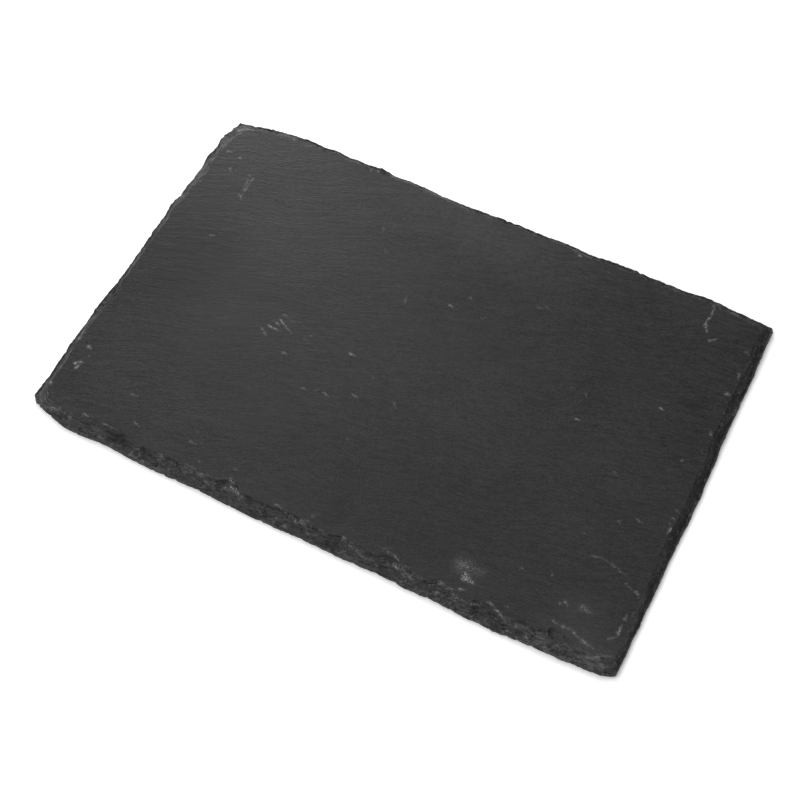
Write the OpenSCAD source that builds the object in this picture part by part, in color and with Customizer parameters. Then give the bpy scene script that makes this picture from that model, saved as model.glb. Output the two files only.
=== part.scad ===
// Slate serving board: one split slab with a hand-chipped edge on four stick-on pads.
// Millimetres, +Z up, +X along the long side, +Y to the back.
// The origin is on the table, below the middle of the board.

/* [Slab] */
// Nominal length of the slab, along X
board_length = 300; // [220:5:400]
// Nominal width of the slab, along Y
board_width = 200; // [150:5:300]
// Thickness of the slab between its two split faces
slab_thickness = 5; // [4:0.5:9]

/* [Outline] */
// How far the proudest break of each side stands outside the nominal size
edge_proud = 1; // [0:0.25:2]
// Size of the slow wander of the outline along each side
edge_wander = 1; // [0:0.25:2]
// Depth of the small bites that the outline carries all round
edge_bite = 0.5; // [0:0.1:1]
// Typical leg of a broken corner
corner_break = 10; // [4:1:14]
// Distance between neighbouring points of the edge
edge_pitch = 2.5; // [2:0.5:5]

/* [Chipped slope] */
// Width of the slope along the front side
front_slope = 6.6; // [4:0.2:8]
// Width of the slope along the right side
right_slope = 5; // [3:0.2:8]
// Width of the slope along the back side
back_slope = 4.6; // [3:0.2:8]
// Width of the slope along the left side
left_slope = 4; // [3:0.2:8]
// Reach of a full shell-shaped chip, from the nominal side
chip_reach = 9; // [6:0.5:12]
// Half the length of a full shell-shaped chip along the side
chip_half_length = 10; // [6:0.5:14]
// Height of the broken lip that stands along the bottom of the edge
lip_height = 1.2; // [0.6:0.1:1.6]
// How far the lip leans in over its height
lip_lean = 0.25; // [0.1:0.05:0.5]
// How far the ledges of the slope stray from their even spacing
ledge_stray = 0.8; // [0:0.1:1.2]
// Length of one break along a ledge
break_length = 7; // [5:0.5:12]

/* [Feet] */
// Diameter of a foot pad
foot_diameter = 12; // [8:0.5:16]
// Height of a foot pad
foot_height = 2; // [1:0.25:5]
// Radius of the rounded rim at the bottom of a pad
foot_rim_radius = 0.6; // [0.2:0.1:0.9]
// Distance from the nominal sides of the slab to the middle of a pad
foot_inset = 24; // [22:1:50]

/* [Adhesive] */
// Thickness of the adhesive disc between a pad and the slab
adhesive_thickness = 0.2; // [0.1:0.05:0.5]
// How far the adhesive disc stays inside the rim of the pad
adhesive_margin = 0.5; // [0.2:0.1:1.5]

/* [Hidden] */

$fn = 64;
slate_grey = [0.24, 0.24, 0.245];
pad_black = [0.09, 0.09, 0.09];
adhesive_white = [0.82, 0.81, 0.77];

half_length = board_length / 2;
half_width = board_width / 2;
slab_floor = foot_height + adhesive_thickness;
perimeter = 2 * (board_length + board_width);
// The blank stands this much over the finished face until the face is split flat
split_allowance = slab_thickness / 10;

// Corners in the order front left, front right, back right, back left.
// Side k runs from corner k to the next: front, right, back, left.
corner_signs = [[-1, -1], [1, -1], [1, 1], [-1, 1]];
side_slopes = [front_slope, right_slope, back_slope, left_slope];
side_counts = [
    for (length = [board_length, board_width, board_length, board_width])
        round(length / edge_pitch)
];

// Legs of the breaks at each corner, [along X, along Y], as shares of corner_break.
// They start from the corner where the proudest points of both sides would meet.
corner_leg_shares = [
    [[0.9, 1], [2.5, 0.67]],
    [[1.2, 0.6], [5, 0.3]],
    [[0.4, 0.75], [4, 0.33]],
    [[0.7, 2.1], [3.4, 0.7]]
];

// Outline of each side: [place as a share of the half side, inset as a share of edge_wander].
// Places grow with X on the front and back, and with Y on the right and left.
wander_shares = [
    [
        [-0.9, 0], [-0.8, -0.4], [-0.7, 0.4], [-0.62, -0.3], [-0.5, -0.4], [-0.38, 0],
        [-0.3, -0.4], [-0.12, -0.6], [0.05, 0.1], [0.12, -0.4], [0.25, 0.4], [0.35, -0.5],
        [0.43, -0.1], [0.62, -0.7], [0.74, 0.2], [0.85, 0.5], [1, 0.8]
    ],
    [
        [-1, 0.6], [-0.7, 0], [-0.3, -0.3], [-0.12, -0.8], [0.05, -0.7], [0.2, -0.2],
        [0.38, 0.3], [0.7, 0], [0.85, 0.5], [1, 0.6]
    ],
    [
        [-0.85, 0.8], [-0.73, -1.3], [-0.66, -0.7], [-0.6, -1.2], [-0.5, -0.4], [-0.43, -1.2],
        [-0.38, 0], [-0.31, -0.8], [-0.2, 0.8], [0.05, 0.3], [0.3, -0.3], [0.37, 0.7],
        [0.45, -0.3], [0.7, 0], [0.78, -1], [0.84, 0.1], [1, 0.8]
    ],
    [
        [-1, 0.4], [-0.8, 0.3], [-0.6, -0.7], [-0.5, -0.1], [-0.38, -0.6], [-0.2, 0.3],
        [0.2, 0], [0.32, -1], [0.4, 0.3], [0.58, 0.7], [0.68, -0.4], [0.73, 0.6], [1, 0.6]
    ]
];

// Width of the slope along each side: [place, share of that side's own slope]
slope_shares = [
    [[-1, 0.7], [-0.85, 0.85], [-0.5, 1], [0.6, 1], [0.8, 1.1], [1, 0.9]],
    [[-1, 0.7], [-0.75, 0.55], [-0.6, 0.75], [-0.5, 1], [0.6, 1.05], [1, 1]],
    [[-1, 1.3], [-0.8, 1], [0, 0.95], [0.8, 1], [1, 1]],
    [[-1, 1], [-0.5, 1], [0.1, 0.85], [0.9, 0.95], [1, 1.3]]
];

// Shell-shaped chips of each side:
// [place, share of chip_half_length, share of chip_reach]
chip_shares = [
    [
        [-0.94, 0.7, 0.72], [-0.69, 0.55, 0.86], [-0.5, 1, 0.84], [-0.29, 0.9, 1.12],
        [-0.06, 0.9, 0.92], [0.11, 1, 0.84], [0.29, 1.1, 0.96], [0.46, 0.9, 0.86],
        [0.6, 1, 0.98], [0.74, 0.85, 0.86], [0.86, 1.1, 1.16]
    ],
    [
        [-0.93, 0.7, 0.6], [-0.76, 0.5, 0.5], [-0.55, 0.45, 0.64], [-0.22, 0.8, 0.64],
        [0.3, 0.9, 0.66], [0.55, 0.6, 0.7], [0.8, 1, 0.64]
    ],
    [
        [-0.9, 1.3, 0.8], [-0.66, 0.8, 0.66], [-0.45, 1, 0.74], [-0.26, 0.5, 0.7],
        [-0.05, 1.2, 0.62], [0.17, 0.9, 0.66], [0.4, 1.1, 0.6], [0.6, 0.8, 0.66],
        [0.82, 1.2, 0.64]
    ],
    [
        [-0.8, 0.9, 0.5], [-0.58, 0.7, 0.62], [-0.32, 1.4, 0.78], [0.05, 1, 0.5],
        [0.36, 0.8, 0.56], [0.6, 0.9, 0.6], [0.86, 0.9, 0.76]
    ]
];

// The two ledges of the slope. Each rises gently to its foot and then steeply to its head:
// shares of the slope's width and of the height left above the lip.
ledge_foot_shares = [[0.3, 0.24], [0.62, 0.52]];
ledge_head_shares = [[0.38, 0.42], [0.7, 0.74]];
crest_foot_share = [0.92, 0.84];

// Numbers that scatter the breaks: any two neighbours differ, and each seed has its own run
dice_step = 127.1;
dice_seed_step = 311.7;
dice_scatter = 43758.5453;
outline_seed = 3;
lip_seed = 11;
crest_seed = 23;
ledge_seeds = [37, 53];

function dice(i, seed) =
    let (v = sin(i * dice_step + seed * dice_seed_step) * dice_scatter)
    v - floor(v);

// Smooth noise from 0 to 1 round the whole edge, closed on itself, one value per break
function breaks(s, seed) =
    let (cells = round(perimeter / break_length))
    let (t = s / perimeter * cells)
    let (i = floor(t))
    let (f = t - i)
    let (a = dice(i % cells, seed))
    let (b = dice((i + 1) % cells, seed))
    a + (b - a) * f * f * (3 - 2 * f);

// Place along side k as a share from -1 to 1 in the direction of the tables
function table_place(k, i) =
    let (run = 2 * i / side_counts[k] - 1)
    k < 2 ? run : -run;

// Point i of side k on the nominal rectangle
function nominal_point(k, i) =
    let (from = corner_signs[k])
    let (to = corner_signs[(k + 1) % 4])
    let (t = i / side_counts[k])
    let (unit = from + (to - from) * t)
    [unit.x * half_length, unit.y * half_width];

// The same point with both half sides shortened by the inset
function inset_point(p, inset) =
    [p.x * (1 - inset / half_length), p.y * (1 - inset / half_width)];

// Inset that brings a nominal point onto a straight break with the given legs
function cut_inset(p, legs) =
    let (x_left = half_length + edge_proud - abs(p.x))
    let (y_left = half_width + edge_proud - abs(p.y))
    let (reach = abs(p.x) / (half_length * legs.x) + abs(p.y) / (half_width * legs.y))
    (1 - x_left / legs.x - y_left / legs.y) / reach;

// Deepest break of the corner on the same quarter as the point
function corner_inset(p) =
    let (corner = p.y < 0 ? (p.x < 0 ? 0 : 1) : (p.x < 0 ? 3 : 2))
    max([for (legs = corner_leg_shares[corner]) cut_inset(p, legs * corner_break)]);

// How far point i of side k lies along the edge, from the front left corner
function run_length(k, i) =
    let (before = [0, board_length, board_length + board_width, 2 * board_length + board_width])
    before[k] + i * (k % 2 == 0 ? board_length : board_width) / side_counts[k];

function side_inset(k, i) =
    lookup(table_place(k, i), wander_shares[k]) * edge_wander
    + breaks(run_length(k, i), outline_seed) * edge_bite;

// Outline insets of one side, moved so that its proudest point stands out by edge_proud
function side_insets(k) =
    let (raw = [for (i = [0 : side_counts[k] - 1]) side_inset(k, i)])
    let (proudest = min(raw))
    [
        for (i = [0 : side_counts[k] - 1])
            max(raw[i] - proudest - edge_proud, corner_inset(nominal_point(k, i)))
    ];

// Reach of a chip at a place on side k: a round arc over its length
function chip_inset(k, place, chip) =
    let (half_side = k % 2 == 0 ? half_length : half_width)
    let (t = (place - chip[0]) * half_side / (chip[1] * chip_half_length))
    abs(t) < 1 ? chip[2] * chip_reach * pow(1 - t * t, 0.4) : 0;

// Width of the slope at point i of side k, whose outline inset is known
function slope_width(k, i, inset) =
    let (place = table_place(k, i))
    let (plain = lookup(place, slope_shares[k]) * side_slopes[k])
    let (chips = max([for (chip = chip_shares[k]) chip_inset(k, place, chip)]))
    let (stray = (breaks(run_length(k, i), crest_seed) - 0.5) * ledge_stray)
    max(plain, chips - max(inset, 0)) + stray;

// Height at a share of what stands above the lip
function slope_height(lip, share) = lip + (slab_thickness - lip) * share;

// The rows of one column of the edge, from the underside to the crest: [inset, height]
function column_rows(k, i, inset) =
    let (s = run_length(k, i))
    let (width = slope_width(k, i, inset))
    let (lip = lip_height * (0.75 + 0.5 * breaks(s, lip_seed)))
    let (strays = [for (seed = ledge_seeds) (breaks(s, seed) - 0.5) * ledge_stray])
    [
        [inset, 0],
        [inset + lip_lean, lip],
        for (j = [0, 1]) each [
            [
                inset + ledge_foot_shares[j].x * width + strays[j],
                slope_height(lip, ledge_foot_shares[j].y)
            ],
            [
                inset + ledge_head_shares[j].x * width + strays[j],
                slope_height(lip, ledge_head_shares[j].y)
            ]
        ],
        [inset + crest_foot_share.x * width, slope_height(lip, crest_foot_share.y)],
        [inset + width, slab_thickness + split_allowance]
    ];

edge_columns = [
    for (k = [0 : 3])
        let (insets = side_insets(k))
        for (i = [0 : side_counts[k] - 1])
            let (nominal = nominal_point(k, i))
            [
                for (row = column_rows(k, i, insets[i]))
                    let (p = inset_point(nominal, row[0]))
                    [p.x, p.y, row[1]]
            ]
];
column_count = len(edge_columns);
row_count = len(edge_columns[0]);
underside_centre = column_count * row_count;
blank_top_centre = underside_centre + 1;

edge_points = [
    for (column = edge_columns)
        for (point = column)
            point
];

function at(column, row) = (column % column_count) * row_count + row;

slope_faces = [
    for (c = [0 : column_count - 1])
        for (r = [0 : row_count - 2])
            each [
                [at(c, r), at(c, r + 1), at(c + 1, r)],
                [at(c + 1, r), at(c, r + 1), at(c + 1, r + 1)]
            ]
];
underside_faces = [
    for (c = [0 : column_count - 1])
        [at(c, 0), at(c + 1, 0), underside_centre]
];
blank_top_faces = [
    for (c = [0 : column_count - 1])
        [at(c + 1, row_count - 1), at(c, row_count - 1), blank_top_centre]
];

// The slab as it is trimmed, before its upper face is split off flat
module trimmed_blank() {
    polyhedron(
        points = concat(edge_points, [[0, 0, 0], [0, 0, slab_thickness + split_allowance]]),
        faces = concat(slope_faces, underside_faces, blank_top_faces)
    );
}

module slate_slab() {
    color(slate_grey)
        translate([0, 0, slab_floor])
            difference() {
                trimmed_blank();
                translate([-board_length, -board_width, slab_thickness])
                    cube([2 * board_length, 2 * board_width, slab_thickness]);
            }
}

foot_radius = foot_diameter / 2;

// Where a foot stands, from the signs of its corner
function foot_place(corner) =
    [corner.x * (half_length - foot_inset), corner.y * (half_width - foot_inset)];

// A round pad with a flat sole and a rounded lower rim
module foot_pad() {
    rotate_extrude()
        union() {
            square([foot_radius - foot_rim_radius, foot_height]);
            translate([0, foot_rim_radius])
                square([foot_radius, foot_height - foot_rim_radius]);
            translate([foot_radius - foot_rim_radius, foot_rim_radius])
                circle(r = foot_rim_radius);
        }
}

module foot(corner) {
    color(pad_black)
        translate(foot_place(corner))
            foot_pad();
}

module adhesive(corner) {
    color(adhesive_white)
        translate(foot_place(corner))
            translate([0, 0, foot_height])
                cylinder(r = foot_radius - adhesive_margin, h = adhesive_thickness);
}

slate_slab();
foot(corner_signs[0]);  // front_left_foot
foot(corner_signs[1]);  // front_right_foot
foot(corner_signs[2]);  // back_right_foot
foot(corner_signs[3]);  // back_left_foot
adhesive(corner_signs[0]);  // front_left_adhesive
adhesive(corner_signs[1]);  // front_right_adhesive
adhesive(corner_signs[2]);  // back_right_adhesive
adhesive(corner_signs[3]);  // back_left_adhesive
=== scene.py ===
"""Slate serving board: the split slab with its chipped edge, four rubber feet and their adhesive discs.

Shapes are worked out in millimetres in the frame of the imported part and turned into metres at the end.
"""

import bpy
import numpy as np
from mathutils import Matrix, Vector


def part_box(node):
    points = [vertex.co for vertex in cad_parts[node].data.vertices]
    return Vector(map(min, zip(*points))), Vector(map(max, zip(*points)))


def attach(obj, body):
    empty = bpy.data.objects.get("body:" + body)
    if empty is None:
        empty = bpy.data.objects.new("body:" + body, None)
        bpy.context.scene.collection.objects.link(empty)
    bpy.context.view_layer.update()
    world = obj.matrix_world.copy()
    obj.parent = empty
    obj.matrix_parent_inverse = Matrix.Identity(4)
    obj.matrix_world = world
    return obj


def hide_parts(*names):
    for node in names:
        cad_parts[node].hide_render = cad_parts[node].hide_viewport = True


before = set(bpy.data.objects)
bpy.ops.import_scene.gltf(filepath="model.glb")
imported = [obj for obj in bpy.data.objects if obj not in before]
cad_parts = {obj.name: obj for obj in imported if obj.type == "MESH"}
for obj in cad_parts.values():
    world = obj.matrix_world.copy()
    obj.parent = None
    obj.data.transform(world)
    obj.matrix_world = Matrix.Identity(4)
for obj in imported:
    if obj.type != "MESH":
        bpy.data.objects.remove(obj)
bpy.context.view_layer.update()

MM = 0.001
SLAB_LOW, SLAB_HIGH = (np.array(corner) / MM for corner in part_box("slate_slab"))
FLOOR_GAP = float(SLAB_LOW[2])
THICKNESS = float(SLAB_HIGH[2] - SLAB_LOW[2])

# The chipped edge, in the solid's own terms. The proudest break of each side stands EDGE_PROUD outside the
# nominal size. Chips are shells that reach in from the side, and the lip is the low wall along the bottom.
EDGE_PROUD = 1.0
EDGE_WANDER = 1.0
EDGE_BITE = 0.5
CORNER_BREAK = 10.0
SIDE_SLOPES = (6.6, 5.0, 4.6, 4.0)
CHIP_REACH = 9.0
CHIP_HALF_LENGTH = 10.0
CHIP_ROUNDNESS = 0.65
CHIP_BLEND = 1.5
LIP_HEIGHT = 1.2
LIP_LEAN = 0.25
LEDGE_STRAY = 0.8
BREAK_LENGTH = 7.0

# The photograph's camera: place, target, roll in degrees, lens and sensor. Its picture's side is in pixels.
CAMERA_PLACE = Vector((171.46, -307.48, 593.27)) * MM
CAMERA_TARGET = Vector((9.51, -18.06, 2.2)) * MM
CAMERA_ROLL = -2.37
CAMERA_LENS = 64.13
SENSOR_WIDTH = 36
PHOTO_SIZE = 810

HALF_LENGTH = float(SLAB_HIGH[0]) - EDGE_PROUD
HALF_WIDTH = float(SLAB_HIGH[1]) - EDGE_PROUD
HALF_SIZE = np.array([HALF_LENGTH, HALF_WIDTH])
PERIMETER = 4 * (HALF_LENGTH + HALF_WIDTH)

# Corners in the order front left, front right, back right, back left. Side k runs from corner k to the next.
CORNERS = np.array([[-1, -1], [1, -1], [1, 1], [-1, 1]], float)

# Legs of the breaks at each corner, along X and Y, as shares of CORNER_BREAK
CORNER_LEG_SHARES = (
    ((0.9, 1), (2.5, 0.67)),
    ((1.2, 0.6), (5, 0.3)),
    ((0.4, 0.75), (4, 0.33)),
    ((0.7, 2.1), (3.4, 0.7)),
)

# Outline of each side: place as a share of the half side, inset as a share of EDGE_WANDER
WANDER_SHARES = (
    (
        (-0.9, 0), (-0.8, -0.4), (-0.7, 0.4), (-0.62, -0.3), (-0.5, -0.4), (-0.38, 0),
        (-0.3, -0.4), (-0.12, -0.6), (0.05, 0.1), (0.12, -0.4), (0.25, 0.4), (0.35, -0.5),
        (0.43, -0.1), (0.62, -0.7), (0.74, 0.2), (0.85, 0.5), (1, 0.8),
    ),
    (
        (-1, 0.6), (-0.7, 0), (-0.3, -0.3), (-0.12, -0.8), (0.05, -0.7), (0.2, -0.2),
        (0.38, 0.3), (0.7, 0), (0.85, 0.5), (1, 0.6),
    ),
    (
        (-0.85, 0.8), (-0.73, -1.3), (-0.66, -0.7), (-0.6, -1.2), (-0.5, -0.4), (-0.43, -1.2),
        (-0.38, 0), (-0.31, -0.8), (-0.2, 0.8), (0.05, 0.3), (0.3, -0.3), (0.37, 0.7),
        (0.45, -0.3), (0.7, 0), (0.78, -1), (0.84, 0.1), (1, 0.8),
    ),
    (
        (-1, 0.4), (-0.8, 0.3), (-0.6, -0.7), (-0.5, -0.1), (-0.38, -0.6), (-0.2, 0.3),
        (0.2, 0), (0.32, -1), (0.4, 0.3), (0.58, 0.7), (0.68, -0.4), (0.73, 0.6), (1, 0.6),
    ),
)

# Width of the slope along each side: place, share of that side's own slope
SLOPE_SHARES = (
    ((-1, 0.7), (-0.85, 0.85), (-0.5, 1), (0.6, 1), (0.8, 1.1), (1, 0.9)),
    ((-1, 0.7), (-0.75, 0.55), (-0.6, 0.75), (-0.5, 1), (0.6, 1.05), (1, 1)),
    ((-1, 1.3), (-0.8, 1), (0, 0.95), (0.8, 1), (1, 1)),
    ((-1, 1.25), (-0.4, 1.2), (-0.1, 1), (0.3, 1.1), (0.6, 1.5), (1, 1.6)),
)

# Shell-shaped chips of each side: place, share of CHIP_HALF_LENGTH, share of CHIP_REACH
CHIP_SHARES = (
    (
        (-0.94, 0.7, 0.72), (-0.69, 0.55, 0.86), (-0.5, 1, 0.84), (-0.29, 0.9, 1.12),
        (-0.06, 0.9, 0.92), (0.11, 1, 0.84), (0.29, 1.1, 0.96), (0.46, 0.9, 0.86),
        (0.6, 1, 0.98), (0.74, 0.85, 0.86), (0.86, 1.1, 1.16),
    ),
    (
        (-0.55, 0.45, 0.5), (-0.22, 0.8, 0.6), (0.3, 0.9, 0.6), (0.55, 0.6, 0.62), (0.8, 1, 0.6),
    ),
    (
        (-0.9, 1.3, 0.8), (-0.66, 0.8, 0.66), (-0.45, 1, 0.74), (-0.26, 0.5, 0.7),
        (-0.05, 1.2, 0.62), (0.17, 0.9, 0.66), (0.4, 1.1, 0.6), (0.6, 0.8, 0.66),
        (0.82, 1.2, 0.64),
    ),
    (
        (-0.8, 0.9, 0.5), (-0.58, 0.7, 0.62), (-0.32, 1.4, 0.78), (0.05, 1, 0.5),
        (0.36, 0.8, 0.56), (0.6, 0.9, 0.6), (0.86, 0.9, 0.76),
    ),
)

# Numbers that scatter the breaks: each seed has its own run
DICE_STEP, DICE_SEED_STEP, DICE_SCATTER = 127.1, 311.7, 43758.5453
OUTLINE_SEED, LIP_SEED, CREST_SEED = 3, 11, 23
LATTICE_PRIMES = (73856093, 19349663, 83492791)
LATTICE_SEED_STEP = 2654435
LATTICE_MIXES = ((13, 1274126177), (15, 668265263))
LARGEST_CODE = 0xFFFFFFFF
SCOOP_ROW_STEP = 1009

# How pale the slope is along each side, partly chalky stone and partly painted light that makes a side
# lighter or darker as it faces the lamps: place, amount
PALENESS = (
    ((-1, 1.4), (0.2, 1.4), (0.45, 2.0), (1, 2.3)),
    ((-1, 1.7), (-0.5, 1.2), (-0.25, 0.4), (1, 0.5)),
    ((-1, 2.0), (-0.4, 1.9), (0, 1.4), (1, 1.3)),
    ((-1, 2.0), (-0.4, 1.7), (-0.2, 1.1), (0.3, 1.2), (1, 1.8)),
)

# How bruised the ridges of each side's slope are, and how ragged its crest and its outline are
SIDE_RIDGES = (0.45, 0.35, 0.45, 0.45)
SIDE_RAGGEDNESS = (1.0, 0.5, 0.8, 0.8)
OUTLINE_RAGGEDNESS = (1.0, 0.2, 0.7, 0.7)

# Marks on the slope, picked in the photo: start and end in its pixels, width in millimetres, and strength,
# which is above zero for a bruise and below for a hollow, cut in and darkened with painted shade
SLOPE_PICKS = (
    (205, 163, 190, 184, 2.8, 0.5), (436, 590, 438, 590.5, 1.4, 0.85), (456, 598, 458, 600, 1.4, 0.8),
    (502, 632, 504.5, 634, 1.2, 0.6), (525, 633.5, 528.5, 638.5, 1.4, 0.85),
    (540, 634.5, 551, 640.5, 1.9, 0.5), (569, 660, 571, 662, 1.2, 0.6), (78, 337, 84, 330, 2.2, 1),
    (44, 404, 51, 406.5, 1.1, 0.6), (50.5, 406, 59, 408.5, 1.4, 0.95), (60, 411, 79, 416, 1.1, 0.35),
    (161, 455, 163.5, 457.5, 1.6, 0.85), (99, 436.5, 103.5, 440.5, 1.4, 0.8),
    (110, 444, 119, 450, 1.4, 0.6), (130, 454, 136, 456.5, 1.6, 0.9), (141, 461, 146, 464, 1.4, 0.9),
    (155, 467, 160, 470, 1.2, 0.6), (235, 488.5, 243, 498, 2, 1), (236, 505, 239, 507, 1.4, 0.6),
    (262, 507, 263.5, 509, 1.2, 0.5), (290, 514.5, 292.5, 517.5, 1.4, 0.95),
    (294.5, 519, 297.5, 521.5, 1.4, 0.95), (301, 520.5, 304, 524, 1.6, 1),
    (275, 517, 278.5, 518.5, 1.4, 0.75), (283, 523.5, 286.5, 527, 1.4, 0.8), (311, 526, 308, 531, 1.1, 0.5),
    (308, 531, 302, 533.5, 1.1, 0.45), (320, 529, 326, 533.5, 1.4, 0.75),
    (351, 543.5, 358.5, 551, 1.9, 0.75), (325, 548, 331.5, 551.5, 1.6, 0.7),
    (387, 561, 392, 563.5, 1.2, 0.5), (394, 563.5, 398.5, 566.5, 1.9, 1), (399, 565, 406.5, 571, 2.5, 0.65),
    (403, 572, 413, 577.5, 1.8, 0.7), (410, 576, 414.5, 582, 1.4, 0.8), (700, 297, 716, 303.5, 1.8, 0.55),
    (752, 366, 753, 369.5, 1.2, 0.6), (741, 387, 742, 390.5, 1.2, 0.5), (737, 408, 733, 415.5, 1.6, 0.9),
    (717, 447, 718.5, 450.5, 1.2, 0.5), (533, 232, 539.5, 233.5, 1.4, 0.7), (664, 550, 668, 561, 1.4, 0.4),
    (112, 432, 118, 438, 3.8, -1), (123, 441, 137, 449, 1.9, -0.8), (143, 450, 148, 463, 1.9, -1),
    (163, 452, 176, 462, 2.2, -1), (176, 463, 178, 474, 1.8, -0.8), (216, 478, 236, 481, 1.8, -0.9),
    (237, 483, 249, 495, 1.9, -1), (246, 498, 263, 506, 1.9, -0.9), (268, 508, 300, 522, 2.2, -0.7),
    (286, 524, 300, 529, 2.8, -0.8), (320, 538, 352, 548, 3, -0.7), (384, 570, 412, 582, 2.8, -0.8),
    (420, 585, 436, 588, 1.8, -0.7), (478, 607, 498, 621, 2.8, -1), (497, 622, 511, 631, 2.2, -0.9),
    (507, 622, 519, 624, 1.6, -0.7), (543, 624, 562, 636, 3.8, -0.4), (518, 632, 531, 641, 1.8, -0.8),
    (226, 147, 216, 153, 2.2, -0.6), (212, 155, 207, 158, 1.8, -0.9), (299, 138, 313, 142.5, 1.8, -1),
    (494, 217, 501, 220, 1.6, -1), (610, 264.5, 619, 268, 1.6, -0.8),
)
HOLLOW_DEPTH = 0.5
HOLLOW_STEEPNESS = 1.8

# For finding where a picked mark lies: rough width of each side's slope, and how often its height is guessed
PICKED_SLOPES = (7.5, 5.0, 4.8, 5.0)
PLACING_ROUNDS = 12

# What a mark or scuff loses in strength on its way from start to end
MARK_FADE = 0.4

# Scoops in the slope: length along the edge, reach up the slope, depth, seed. Their rows sway up and down.
WIDE_SCOOP = (10.0, 3.0, 0.8, 301)
FINE_SCOOP = (4.4, 1.3, 0.34, 311)
RIDGE_SHARE = 0.05
SWAY_LENGTH = 26.0
SWAY_REACH = 6.0

# Layers of the slate on the slope: thickness, and how far a height is drawn down to its layer. They sway by
# so many layers over a length, and show in patches of a size.
LAYER = 0.8
LAYER_SHARE = 0.8
LAYER_SWAY = 1.5
LAYER_SWAY_RUN = (40.0, 401)
LAYER_PATCH = ((14, 4, 1), 402)

# Slow and quick changes along the edge, as length and seed: bruises of the ridges, the lip, the slope's bend
BRUISE_RUNS = ((6.0, 201), (1.7, 202))
LIP_RUNS = ((BREAK_LENGTH, LIP_SEED), (2.0, 103))
BEND_RUN = (20.0, 106)

# Ragged breaks as depth, length and seed: notches and bites of the outline, and bites of the crest
OUTLINE_NOTCH = (0.8, 9.0, 107)
OUTLINE_BITES = ((0.25, 3.2, 101), (0.15, 1.3, 102))
CREST_BITES = ((0.8, 6.0, 104), (0.4, 2.1, 105))

# Shares of the slope's width over which scoops and layers fade out at its foot and at its crest
FOOT_SHARE = 0.15
CREST_SHARE = 0.07

# Fine lumps of the broken slope: size of a lump, share of the whole, first of three seeds. Then their reach.
LUMPS = (((1.4, 1.4, 0.7), 0.65, 31), ((0.6, 0.6, 0.4), 0.35, 34))
LUMP_REACH = 0.2

# Relief of the split face: size of its waves, whether they follow the grain, seed, depth
FACE_WAVES = (((70, 16, 50), True, 5, 0.14), ((28, 6, 50), True, 6, 0.07), ((60, 60, 50), False, 7, 0.12))

# The slab's mesh: distance between columns round the edge, rows up the slope,
# and the insets of the rings on the upper face after which every second column ends
COLUMN_PITCH = 0.5
SLOPE_ROWS = 22
HALVING_INSETS = (14.0, 40.0)
RING_PITCHES = (2.0, 2.6, 3.2)
UNDERSIDE_INSETS = (0.6, 1.6, 3.2, 6.0)
UNDERSIDE_PITCH = 4.0
UNDERSIDE_HALVINGS = 3
UNDERSIDE_DRAW = 40.0
OUTLINE_FADE = 20.0
RIM_WIDTH = 6.0
SLATE_SHARP_ANGLE = 26
RUBBER_SHARP_ANGLE = 40

# The grain of the split face runs in wide arcs round this point, which lies off the board. In the finish it
# also sways: length and reach of a sway.
ARC_CENTRE = (692.0, -2194.0)
ARC_RADIUS = 2300.0
GRAIN_SWAY = (45, 12)


def dice(cell, seed):
    """A scattered number from 0 to 1 for each whole cell: the fraction of a large multiple of a sine."""
    value = np.sin(np.radians(cell * DICE_STEP + seed * DICE_SEED_STEP)) * DICE_SCATTER
    return value - np.floor(value)


def breaks(run, length, seed):
    """Smooth noise from 0 to 1 round the whole edge: a scattered number per length, eased to the next."""
    cells = round(PERIMETER / length)
    t = run / PERIMETER * cells
    cell = np.floor(t)
    part = t - cell
    a = dice(cell % cells, seed)
    b = dice((cell + 1) % cells, seed)
    return a + (b - a) * part * part * (3 - 2 * part)


def eased(values, reach):
    """Values round the whole edge, each replaced by the mean within the reach on both sides."""
    columns = max(1, round(reach / COLUMN_PITCH))
    return sum(np.roll(values, step) for step in range(-columns, columns + 1)) / (2 * columns + 1)


def chain(run, length, seed):
    """Links of uneven length round the whole edge: the place t in the link, from 0 to 1, and its own size.

    The joints of the links are a running sum of random lengths.
    """
    rng = np.random.default_rng(seed)
    lengths = rng.uniform(0.4, 1.6, round(PERIMETER / length))
    joints = np.concatenate([[0], np.cumsum(lengths)])
    joints *= PERIMETER / joints[-1]
    sizes = rng.uniform(0.15, 1, len(lengths)) ** 1.5
    which = np.clip(np.searchsorted(joints, run, side="right") - 1, 0, len(lengths) - 1)
    return (run - joints[which]) / (joints[which + 1] - joints[which]), sizes[which]


def bites(run, length, seed):
    """A chain of round bites: size times (1 - (2t - 1)^2) to the power 0.6."""
    t, size = chain(run, length, seed)
    return size * np.clip(1 - (2 * t - 1) ** 2, 0, 1) ** 0.6


def notches(run, length, seed):
    """A chain of scales with a notch at each joint: |2t - 1| to the power 6, times noise along the edge."""
    t, _ = chain(run, length, seed)
    return abs(2 * t - 1) ** 6 * breaks(run, 2 * length, seed)


def camera_turn():
    """Turns the camera's own axes into the scene's: it looks at its target, rolled a little."""
    forward = (CAMERA_TARGET - CAMERA_PLACE).normalized()
    return forward.to_track_quat("-Z", "Y").to_matrix() @ Matrix.Rotation(np.radians(CAMERA_ROLL), 3, "Z")


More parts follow.
